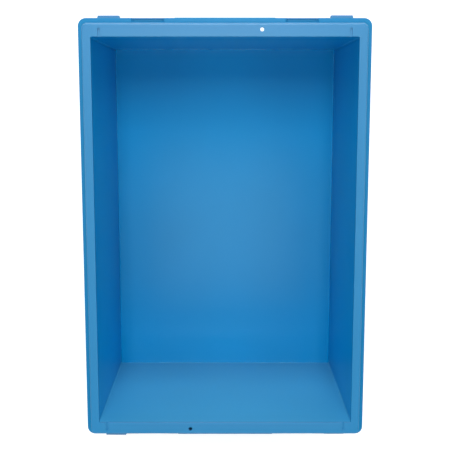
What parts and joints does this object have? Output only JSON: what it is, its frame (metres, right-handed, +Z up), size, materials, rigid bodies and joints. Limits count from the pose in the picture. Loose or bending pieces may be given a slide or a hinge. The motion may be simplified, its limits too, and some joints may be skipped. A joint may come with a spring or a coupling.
{
  "type": "transport crate",
  "caption": "Open-topped stacking crate with smooth solid walls, a raised rim above a stepped lip, ribbed outsides, hand grips on the short ends and a stacking foot.",
  "frame": {"origin": "centre of the footprint, on the plane that the stacking foot rests on", "axes": "+Z up out of the open top, +Y along the 600 mm length towards the rear end, +X along the 400 mm width to the right"},
  "size_m": [0.4, 0.6, 0.28],
  "materials": {
    "panel": "satin light blue polypropylene, smooth inside",
    "floor": "satin light blue polypropylene with a very fine texture",
    "frame": "satin light blue polypropylene, fine moulded texture",
    "rivet": "satin dark blue nylon"
  },
  "bodies": {
    "root": {"base_frame": "frame", "floor_panel": "floor", "side_wall_right": "panel", "side_wall_left": "panel", "end_wall_rear": "panel", "end_wall_front": "panel", "top_rim": "frame", "lip_band": "frame", "hand_grip_rear": "frame", "hand_grip_front": "frame", "corner_post_rear_right": "frame", "lid_lug_rear_right": "frame", "base_rivet_rear_right": "rivet", "corner_post_rear_left": "frame", "lid_lug_rear_left": "frame", "base_rivet_rear_left": "rivet", "corner_post_front_right": "frame", "lid_lug_front_right": "frame", "base_rivet_front_right": "rivet", "corner_post_front_left": "frame", "lid_lug_front_left": "frame", "base_rivet_front_left": "rivet"}
  },
  "joints": []
}
